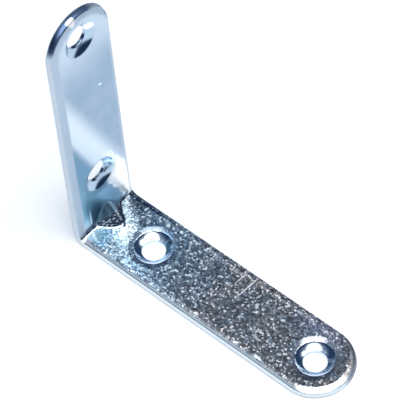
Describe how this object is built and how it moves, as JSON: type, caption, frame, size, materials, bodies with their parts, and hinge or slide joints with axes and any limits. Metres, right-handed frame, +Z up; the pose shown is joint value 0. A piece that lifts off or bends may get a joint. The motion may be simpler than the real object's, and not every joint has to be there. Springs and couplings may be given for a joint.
{
  "type": "angle bracket",
  "caption": "Narrow right-angle bracket folded from one steel strip, with round ends, countersunk screw holes in both legs and a stiffening rib pressed into the fold.",
  "frame": {"origin": "on the underside of the base leg, below the middle of the bounding box, 30 mm from the outer face of the upright", "axes": "+X along the base leg away from the upright, +Y across the strip, +Z up along the upright"},
  "size_m": [0.06, 0.015, 0.06],
  "materials": {
    "zinc_plate": "bright zinc plating with a faint blue tint"
  },
  "bodies": {
    "root": {"angle_bracket": "zinc_plate"}
  },
  "joints": []
}
